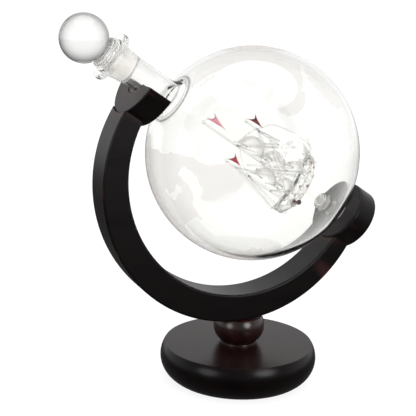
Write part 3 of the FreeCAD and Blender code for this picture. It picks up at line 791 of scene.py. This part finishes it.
# straight threads on each side: (x, y, z, x, y, z, radius), y as a share of the reach
STAY_REACH = 6.2
STAYS = (
    (-1.0, 0, 10.5, 6.5, 1, -22.0, 0.42), (13.2, 0, 4.0, -1.0, 0.9, -12.0, 0.42),
    (-1.0, 0, 11.0, 12.8, 0.8, -12.0, 0.42), (13.2, 0, 6.0, 18.2, 0.8, -34.0, 0.42),
    (13.2, 0, -12.0, 8.0, 1, -36.5, 0.42), (-1.0, 0, -8.0, -9.5, 1, -36.0, 0.42),
    (-1.0, 0, -22.0, 5.0, 1, -36.5, 0.42), (-12.2, 0, 4.0, -3.0, 0.8, -22.0, 0.42),
    (-12.2, 0, -6.0, -18.0, 0.7, -34.5, 0.42), (-12.2, 0, -24.0, -5.6, 1, -36.5, 0.42),
    (-1.0, 0.3, -10.0, 13.0, 0.3, -20.0, 0.42), (2.0, 1, 6.5, 17.5, 1, -21.0, 0.55),
    (13.5, 1, 1.0, 0.5, 1, -24.0, 0.55), (-6.5, 1, -5.0, 7.5, 1, -33.0, 0.55),
    (6.5, 1, -9.0, -10.5, 0.9, -34.5, 0.55), (17.0, 1, -15.0, 8.0, 1, -35.5, 0.55),
    (-13.5, 0.6, -2.0, -20.0, 0.4, -30.5, 0.45),
)
FLAG_STEP = 0.45
FLAG_THICK = 0.95
FLAG_EDGE = 1.1            # how far in from its rim a flag rounds off
# mast: (horn, horn, notch, point) of its flag, its glass and its slot
FLAGS = {
    "fore": ((15.4, 13.4), (21.0, 13.2), (17.6, 10.6), (15.9, 2.4), DARK_RED_GLASS, "red_glass"),
    "main": ((1.9, 36.2), (7.2, 34.8), (4.2, 32.6), (2.6, 21.4), PINK_GLASS, "pink_glass"),
    "mizzen": ((-10.4, 10.9), (-4.4, 10.8), (-7.8, 8.4), (-9.9, 1.6), RED_GLASS, "red_glass"),
}


def ship_piece(name, parts, material, slot, *nodes):
    points, faces = gather(parts)
    piece = mesh_object(name, in_ship_frame(points), faces, sharp=60)
    hand_over(piece, material, "globe", slot, *nodes)


def thread(points, radius, per_span=8, sides=8):
    """A smooth thread through a few points."""
    return tube(spline(points, per_span), radius, sides)


def billowed_sail(x, z, half_w, half_h, depth, lean):
    """A square sail full of wind: a deep cap with a rounded square edge."""
    spokes, rings = 48, 14
    turns = full_turn(spokes)
    square = 1.0 / (np.abs(np.cos(turns)) ** 2.8 + np.abs(np.sin(turns)) ** 2.8) ** (1 / 2.8)
    lean = math.radians(lean)
    front, back = [], []
    for k in range(rings + 1):
        share = math.sin(math.pi / 2 * k / rings)
        u = share * square * np.cos(turns)
        v = share * square * np.sin(turns)
        belly = depth * (1 - share ** 2) ** 0.62
        half = SAIL_THICK / 2 * math.sqrt(max(0.0, 1 - share ** 8))
        for store, sign in ((front, 1), (back, -1)):
            shrink = 1.0 + sign * half / (half_w + half_h)
            px = belly + sign * half
            pz = v * half_h * shrink
            store.append(np.stack([
                x + px * math.cos(lean) - pz * math.sin(lean),
                u * half_w * shrink,
                z + px * math.sin(lean) + pz * math.cos(lean)], 1))
    verts = [front[0][0], *np.concatenate(front[1:]), back[0][0], *np.concatenate(back[1:-1])]
    around = even_rings(rings, spokes)
    outer = [[0] * spokes] + [[v + 1 for v in ring] for ring in around]
    behind = 1 + rings * spokes
    inner = [[behind] * spokes] + [[v + behind + 1 for v in ring] for ring in around[:-1]] + [outer[-1]]
    return verts, join_rings(outer) + join_rings(inner)


def flag_patch(rim):
    """A flat flag with pillowed faces and a sharp rim, in the ship's middle plane."""
    verts, tris = filled([rim], FLAG_STEP, FLAG_STEP, 0.0, FLAG_STEP * 0.4)
    dist = np.sqrt(((verts[:, None] - rim[None]) ** 2).sum(-1)).min(1)
    dist[dist < 1e-4] = 0.0
    level = FLAG_THICK / 2 * np.sqrt(1 - (1 - np.clip(dist / FLAG_EDGE, 0, 1)) ** 2)
    on_rim = dist == 0
    number = len(verts)
    second = np.arange(number)
    second[~on_rim] = number + np.arange((~on_rim).sum())
    points = [(v[0], h, v[1]) for v, h in zip(verts, level)]
    points += [(v[0], -h, v[1]) for v, h in zip(verts[~on_rim], level[~on_rim])]
    faces = [list(map(int, t)) for t in tris]
    faces += [[int(second[v]) for v in t[::-1]] for t in tris if not on_rim[t].all()]
    return points, faces


def bent(start, end, pull, count):
    """Points from start to just before end on a curve that is pulled aside in the middle."""
    middle = (start + end) / 2 + pull
    t = np.linspace(0, 1, count, endpoint=False)[:, None]
    return (1 - t) ** 2 * start + 2 * t * (1 - t) * middle + t ** 2 * end


def flags():
    """Each mast with its hook and its swallow-tailed flag."""
    for name, (horn_a, horn_b, notch, point, material, slot) in FLAGS.items():
        horn_a, horn_b, notch, point = (np.array(p) for p in (horn_a, horn_b, notch, point))
        x, top = MASTS[name]
        tip_a = horn_a + np.array((0.5, -0.5))
        lean_in = 0.18 * np.linalg.norm(horn_b - point)
        outline = np.vstack([
            bent(point, horn_a, (0.18 * lean_in, 0.0), 9),
            bent(horn_a, tip_a, (0.1, 0.2), 3),
            bent(tip_a, notch, (0.0, -0.3), 5),
            bent(notch, horn_b, (0.35, -0.9), 6),
            bent(horn_b, point, (-0.62 * lean_in, -0.1), 9),
        ])
        ship_piece(name + "_flag", [flag_patch(outline)], material, slot, name + "_pennant")
        hook = thread([(x, 0, top - 0.3), (x - 0.5, 0, top + 0.9), (x + 0.5, 0, top + 1.4),
                       (x + 1.6, 0, top + 0.3), (horn_a[0] + 0.3, 0, horn_a[1] - 0.3)], 0.42, 6, 8)
        spar = tube([(x, 0, DECK_Z - 1.5), (x, 0, -10.0), (x, 0, top - 0.3)], [0.85, 0.75, 0.5], 10)
        ship_piece(name + "_spar", [spar, hook], THREAD_GLASS, "clear_glass", name + "_mast")


def sails_and_yards():
    for name, cloths in SAILS.items():
        parts = [billowed_sail(*cloth) for cloth in cloths]
        ship_piece(name + "_billowed_sails", parts, SAIL_GLASS, "ground_glass", name + "_sails")
        rods = []
        for x, z, half_w, half_h, _depth, _lean in cloths:
            for height in (z + half_h * 0.96, z - half_h * 0.96):
                rods.append(thread([(x - 0.4, -half_w - 1.4, height), (x + 0.3, 0, height),
                                    (x - 0.4, half_w + 1.4, height)], 0.42, 6))
        ship_piece(name + "_yard_rods", rods, THREAD_GLASS, "clear_glass", name + "_yards")


def fullness(share):
    """How wide the hull is at a share of its half length: 1 amidships, a tenth at its ends."""
    return max(0.02, 1 - abs(share) ** 2.6) ** 0.6


def hull():
    """A drawn-out glass bowl of a hull, pointed at both ends."""
    count, spokes = 26, 28
    points = []
    for t in np.linspace(-1, 1, count):
        x = HULL_MIDDLE + HULL_HALF * t
        keel = -45.0 + 6.6 * abs(t) ** 2.6
        rail = -37.4 + 4.4 * t ** 2
        for m in range(spokes):
            angle = 2 * math.pi * m / spokes
            side = math.cos(angle)
            height = math.sin(angle)
            z = rail + 0.35 * height if height > 0 else rail + (rail - keel) * height * abs(height) ** 0.1
            y = HULL_BEAM * fullness(t) * np.sign(side) * abs(side) ** 0.8
            points.append((x, y, z))
    rings = even_rings(count, spokes)
    faces = join_rings(rings) + [rings[0], rings[-1]]
    ship_piece("glass_hull", [(points, faces)], CLEAR, "clear_glass", "ship_hull")


def rigging():
    """Stays along the middle, straight threads on both sides, and the bowsprit."""
    threads = [
        thread([(8.5, 0, 8.8), (12.4, 0, 6.6), (16.1, 0, 3.2), (19.4, 0, 0.4), (21.5, 0, -3), (23.6, 0, -12),
                (24.4, 0, -22), (24.1, 0, -29.6), (22.7, 0, -33)], 0.36),
        thread([(8.5, 0, 8.8), (4.0, 0, 10.6), (-0.8, 0, 11.4)], 0.36),
        thread([(-1.8, 0, 8.5), (-8.0, 0, 1.2), (-12.4, 0, -7.4), (-16.0, 0, -16.0), (-18.3, 0, -24),
                (-21.2, 0, -30)], 0.36),
    ]
    for side in (-1, 1):
        reach = side * STAY_REACH
        threads += [tube(np.linspace((x0, reach * y0, z0), (x1, reach * y1, z1), 6), radius, 8)
                    for x0, y0, z0, x1, y1, z1, radius in STAYS]
    ship_piece("glass_threads", threads, THREAD_GLASS, "clear_glass", "rigging")
    sprit = thread([(15.5, 0, -36.0), (20.0, 0, -34.0), (23.5, 0, -31.0), (26.0, 0, -27.2)], 0.6)
    ship_piece("glass_bowsprit", [sprit], THREAD_GLASS, "clear_glass", "bowsprit")


def curls():
    """Loops of glass thread trailed along the stern, the rails and the keel."""
    parts = []
    draw = np.random.default_rng(7)
    for side in (-1, 1):
        for row, (z0, count, size) in enumerate(((-38.0, 7, 1.6), (-43.2, 6, 1.4))):
            for k in range(count):
                share = -0.92 + 1.84 * k / (count - 1)
                x = HULL_MIDDLE + 18.5 * share
                reach = HULL_BEAM * fullness(share) * (1.0 if row == 0 else 0.45)
                z = z0 + 4.0 * share ** 2 + draw.uniform(-0.4, 0.4)
                turns = np.linspace(0, 2 * math.pi * 1.15, 12) + draw.uniform(0, 6)
                size_k = size * draw.uniform(0.8, 1.15)
                loop = np.stack([x + size_k * np.cos(turns), np.full(12, side * (reach + 0.4)),
                                 z + 0.75 * size_k * np.sin(turns)], 1)
                parts.append(thread(loop, 0.28, 3, 7))
        parts.append(thread([(-20.6, 0, -31.0), (-14.0, side * 4.2, -36.4), (-2.0, side * 6.2, -37.6),
                             (9.0, side * 5.4, -37.0), (17.0, side * 2.2, -34.6), (20.6, 0, -32.4)], 0.45))
    ship_piece("glass_curls", parts, THREAD_GLASS, "clear_glass")


def bead(centre, radius, squash):
    """A round drop of glass; squash flattens it along the masts."""
    count, spokes = 9, 14
    points = []
    for angle in np.linspace(0, math.pi, count):
        ring = radius * math.sin(angle)
        for turn in full_turn(spokes):
            points.append((centre[0] + ring * math.cos(turn), centre[1] + ring * math.sin(turn),
                           centre[2] + squash * radius * math.cos(angle)))
    return points, join_rings(even_rings(count, spokes))


def beads():
    parts = []
    for x, z, radius in ((13.8, -38.7, 0.6), (10.5, -37.5, 0.55), (2.2, -40.6, 0.75), (-8.9, -41.8, 1.7),
                         (9.9, -19.6, 0.45), (-3.5, -21.8, 0.45)):
        for side in (-1, 1):
            reach = 6.4 * fullness((x - HULL_MIDDLE) / HULL_HALF) if z < DECK_Z else 1.2
            parts.append(bead((x, side * reach, z), radius, 0.85))
    ship_piece("red_beads", parts, RED_GLASS, "red_glass", "portholes")


def support():
    rod = thread([(0, 0, -44.0), (0.2, 0, -49.0), (0.0, 0, -54.0), (0, 0, -58.4)], 0.95, 8, 12)
    ship_piece("glass_support_rod", [rod], CLEAR, "clear_glass", "support_rod")
    swirl = []
    for turn in range(3):
        radius = 4.4 - 1.1 * turn
        angles = np.linspace(0, 2 * math.pi, 18) + turn
        ring = np.stack([radius * np.cos(angles), radius * np.sin(angles),
                         np.full(18, -58.6 + 0.9 * turn)], 1)
        swirl.append(thread(ring, 0.75, 2, 9))
    ship_piece("glass_foot", [bead((0, 0, -58.9), 3.9, 0.35), *swirl], CLEAR, "clear_glass", "support_foot")


# --- stand
def dress(material, *names):
    """Give CAD nodes a material."""
    for name in names:
        slots = frame["nodes"][name].data.materials
        slots.clear()
        slots.append(material)


def stand_materials():
    tilt = math.atan2(-AXIS[2], AXIS[0])
    dark = (0.0014, 0.0009, 0.0011), (0.0034, 0.0018, 0.0019), (0.030, 0.009, 0.008)
    red = (0.0085, 0.0024, 0.0024), (0.018, 0.0048, 0.0044), (0.04, 0.011, 0.009)
    dress(lacquered_wood("arc_wood", dark, 0.34, 0.22, turn=(0.0, -tilt, 0.0)),
          "stand_arc", "neck_saddle", "pole_socket")
    dress(lacquered_wood("base_wood", dark, 0.24, 0.17, edge_share=0.5), "base_disc")
    dress(lacquered_wood("post_wood", red, 0.24, 0.55, stretch=(130, 130, 14)), "ball_post")
    dress(metal("brushed_steel", (0.56, 0.57, 0.58), 0.28, 900.0), "stand_bolt", "bolt_washer")
    dress(metal("turned_brass", (0.78, 0.55, 0.24), 0.25, 700.0), "threaded_insert")
    dress(plain_grain("bare_beech", (0.50, 0.33, 0.19), (0.64, 0.45, 0.28), 0.6, 240.0),
          "saddle_dowels", "socket_dowels")
    dress(plain_grain("clear_silicone", (0.80, 0.80, 0.78), (0.88, 0.88, 0.86), 0.35, 300.0,
                      Transmission_Weight=0.75, IOR=1.41), "pin_sleeve")


# Saddle, groove and felt, in the axis frame
SADDLE_OUT = -84.5
SADDLE_IN = -69.8
SADDLE_TOP = -4.0
GROOVE_R = 10.6
LINER_THICK = 1.7
LINER_SHORT = 0.6


def saddle_felt():
    """Felt strip pressed round the groove under the neck, with soft edges and a slightly uneven face."""
    top = math.acos(-SADDLE_TOP / GROOVE_R)
    turns = np.linspace(math.pi - top, math.pi + top, 56)
    low, high = SADDLE_OUT + LINER_SHORT, SADDLE_IN - LINER_SHORT
    back, face = GROOVE_R - 0.02, GROOVE_R - LINER_THICK
    section = rounded([(back, low + 1.0, 0), (back, low, 0.4), (face, low, 0.7), (face, high, 0.7),
                       (back, high, 0.4), (back, low + 1.0, 0)], 4)[:-1]
    draw = np.random.default_rng(3)
    points = []
    for turn in turns:
        for r, s in section:
            wobble = draw.normal(0, 0.035) if r < GROOVE_R - 0.3 else 0.0
            points.append(in_axis_frame(s, r + wobble, turn))
    rings = even_rings(len(turns), len(section))
    piece = mesh_object("saddle_felt", points, join_rings(rings) + [rings[0], rings[-1]], sharp=50)
    material = felt("grey_felt", (0.008, 0.0085, 0.009), (0.030, 0.031, 0.033))
    hand_over(piece, material, "stand", "felt", "saddle_liner")


def base_felt():
    """Felt disc under the base, soft at its rim."""
    low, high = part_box("base_felt")
    draw = np.random.default_rng(5)
    segments = 120
    turns = full_turn(segments)
    top = [(0.0, high.z), (0.35, high.z), (0.7, high.z), (0.97, high.z), (0.992, high.z - 0.0002)]
    under = [(0.992, low.z + 0.0002), (0.97, low.z), (0.7, low.z), (0.35, low.z), (0.0, low.z)]
    points, rings = [], []
    for share, z in top + [(1.0, high.z - 0.0007)] + under:
        first = len(points)
        if share == 0.0:
            points.append((0.0, 0.0, z))
            rings.append([first] * segments)
            continue
        fuzz = 1.0 - np.abs(draw.normal(0, 0.0012, segments)) if share > 0.9 else np.ones(segments)
        reach = high.x * share * fuzz
        points.extend(zip(reach * np.cos(turns), reach * np.sin(turns), [z] * segments))
        rings.append(list(range(first, first + segments)))
    piece = mesh_object("base_felt_pad", points, join_rings(rings), sharp=50)
    material = felt("black_felt", (0.010, 0.010, 0.011), (0.035, 0.035, 0.037))
    hand_over(piece, material, "stand", "felt", "base_felt")


# --- room, lights and camera
# The camera was fitted to the photograph's outlines
CAMERA_TURNS = (-23.75, 13.62, 1.608)       # azimuth, elevation and roll in degrees
CAMERA_DISTANCE = 0.60655
CAMERA_AIM = np.array((-0.02277, 0.0, 0.10710))
CAMERA_LENS = 89.51
SOFTBOX_DISTANCE = 1.3
SOFTBOX_SIZE = 0.62


def camera_axes():
    """Its right, up and back directions."""
    azimuth, elevation, roll = np.radians(CAMERA_TURNS)
    back = np.array((math.sin(azimuth) * math.cos(elevation), -math.cos(azimuth) * math.cos(elevation),
                     math.sin(elevation)))
    right = np.cross((0, 0, 1.0), back)
    right /= np.linalg.norm(right)
    up = np.cross(back, right)
    return (right * math.cos(roll) + up * math.sin(roll),
            up * math.cos(roll) - right * math.sin(roll), back)


def camera():
    right, up, back = camera_axes()
    data = bpy.data.cameras.new("camera")
    data.lens = CAMERA_LENS
    data.sensor_width = 36.0
    data.clip_start = 0.01
    data.clip_end = 100.0
    thing = in_scene("camera", data)
    place = CAMERA_AIM + back * CAMERA_DISTANCE
    thing.matrix_world = Matrix((
        (right[0], up[0], back[0], place[0]),
        (right[1], up[1], back[1], place[1]),
        (right[2], up[2], back[2], place[2]),
        (0, 0, 0, 1)))
    bpy.context.scene.camera = thing


def floor():
    """White floor. Mirror reflections don't see it, which keeps the lacquer dark."""
    size = 40.0
    lowest = CAD_BOX[0].z
    mesh = bpy.data.meshes.new("floor")
    corners = [(-size, -size, lowest), (size, -size, lowest), (size, size, lowest), (-size, size, lowest)]
    mesh.from_pydata(corners, [], [(0, 1, 2, 3)])
    piece = in_scene("floor", mesh)
    material, *_rest = new_material(
        "studio_floor", Base_Color=(0.20, 0.20, 0.20, 1.0), Roughness=0.9, Specular_IOR_Level=0.1,
        Emission_Color=(1.0, 1.0, 1.0, 1.0), Emission_Strength=0.87)
    mesh.materials.append(material)
    piece.visible_glossy = False


def area_light(name, direction, radiance):
    """A round softbox facing the object. Refracted light doesn't see it."""
    data = bpy.data.lights.new(name, "AREA")
    data.shape = "DISK"
    data.size = SOFTBOX_SIZE
    data.energy = radiance * math.pi ** 2 * SOFTBOX_SIZE ** 2 / 4
    thing = in_scene(name, data)
    direction = Vector(direction).normalized()
    thing.location = Vector(CAMERA_AIM) + direction * SOFTBOX_DISTANCE
    thing.rotation_mode = "QUATERNION"
    thing.rotation_quaternion = direction.to_track_quat("Z", "Y")
    thing.visible_transmission = False


def lights():
    """A softbox on each side of the camera and a wide, soft sun overhead."""
    right, up, back = camera_axes()
    area_light("softbox_left", -0.68 * right + 0.02 * up + 0.73 * back, radiance=4.0)
    area_light("softbox_right", 0.62 * right + 0.08 * up + 0.78 * back, radiance=7.0)
    sun = bpy.data.lights.new("overhead", "SUN")
    sun.energy = 1.7
    sun.angle = math.radians(70)
    in_scene("overhead", sun)


def world():
    """White to the eye, and otherwise darker above, below the floor and on the camera's side."""
    made = bpy.data.worlds.new("studio")
    bpy.context.scene.world = made
    made.use_nodes = True
    tree = made.node_tree
    tree.nodes.clear()
    out = node(tree, "OutputWorld")
    seen = node(tree, "Background", Color=(1.0, 1.0, 1.0, 1.0), Strength=1.0)
    lighting = node(tree, "Background", Strength=1.05)
    coords = node(tree, "TexCoord").outputs["Generated"]
    split = node(tree, "SeparateXYZ")
    link(coords, split.inputs[0])
    raised = node(tree, "Math")
    raised.operation = "MULTIPLY_ADD"
    raised.inputs[1].default_value = 0.5
    raised.inputs[2].default_value = 0.5
    link(split.outputs["Z"], raised.inputs[0])
    height = ramp(tree, raised.outputs[0], (0.42, 0.10), (0.50, 1.0), (0.65, 0.93), (0.875, 0.62))
    ahead = node(tree, "VectorMath")
    ahead.operation = "DOT_PRODUCT"
    ahead.inputs[1].default_value = tuple(camera_axes()[2])
    link(coords, ahead.inputs[0])
    front = ramp(tree, ahead.outputs["Value"], (0.0, 1.0), (0.50, 0.32))
    link(mix_colours(tree, 1.0, height, front, "MULTIPLY"), lighting.inputs["Color"])
    camera_ray = node(tree, "LightPath").outputs["Is Camera Ray"]
    link(mix_shaders(tree, camera_ray, lighting, seen), out.inputs["Surface"])


def render_quality():
    scene = bpy.context.scene
    scene.view_settings.view_transform = "Standard"
    scene.view_settings.look = "None"
    scene.cycles.max_bounces = 28
    scene.cycles.transmission_bounces = 28
    scene.cycles.transparent_max_bounces = 28
    scene.cycles.glossy_bounces = 8


# --- assembly
glass_vessel()
glass_stopper()
etched_map()
flags()
sails_and_yards()
hull()
rigging()
curls()
beads()
support()
stand_materials()
saddle_felt()
base_felt()
camera()
floor()
lights()
world()
render_quality()
